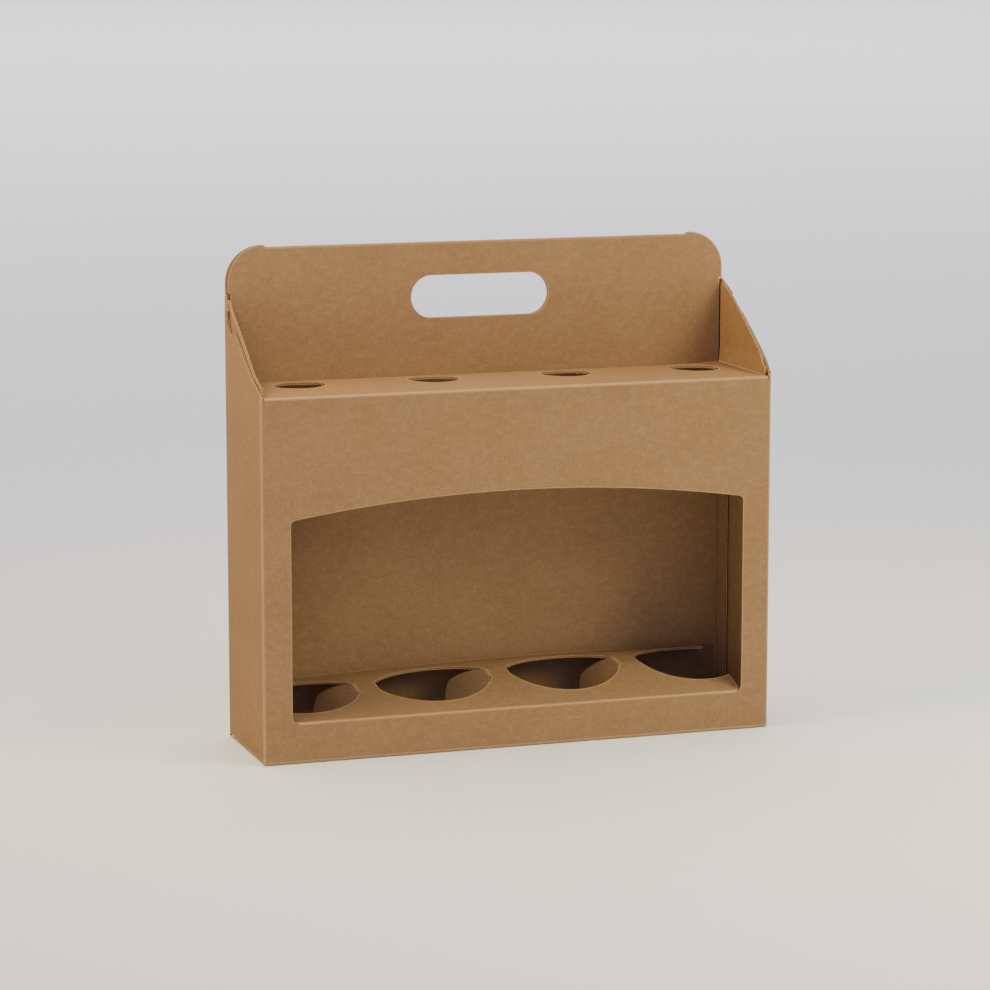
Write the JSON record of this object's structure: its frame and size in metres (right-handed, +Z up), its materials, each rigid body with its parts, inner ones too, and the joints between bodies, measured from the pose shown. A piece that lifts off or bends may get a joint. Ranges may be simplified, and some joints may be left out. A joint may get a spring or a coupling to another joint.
{
  "type": "bottle carrier box",
  "caption": "Folded kraft corrugated carrier box for a row of bottles, with an arched front window, a hinged shelf with neck holes, a ledge inside and a tall back with a hand slot.",
  "frame": {"origin": "middle of the base, on the surface the box stands on", "axes": "+X along the width to the right seen from the front, +Y from the front to the back, +Z up"},
  "size_m": [0.36, 0.092, 0.3362],
  "materials": {
    "kraft_board": "plain brown kraft micro-flute corrugated board, matt, with pale cut edges"
  },
  "bodies": {
    "carton": {"carton": "kraft_board"},
    "shelf": {"neck_shelf": "kraft_board"}
  },
  "joints": [
    {"name": "shelf_hinge", "type": "hinge", "parent": "carton", "child": "shelf", "pos_m": [0, -0.046, 0.245], "axis": [1, 0, 0], "range_deg": [0, 120]}
  ]
}
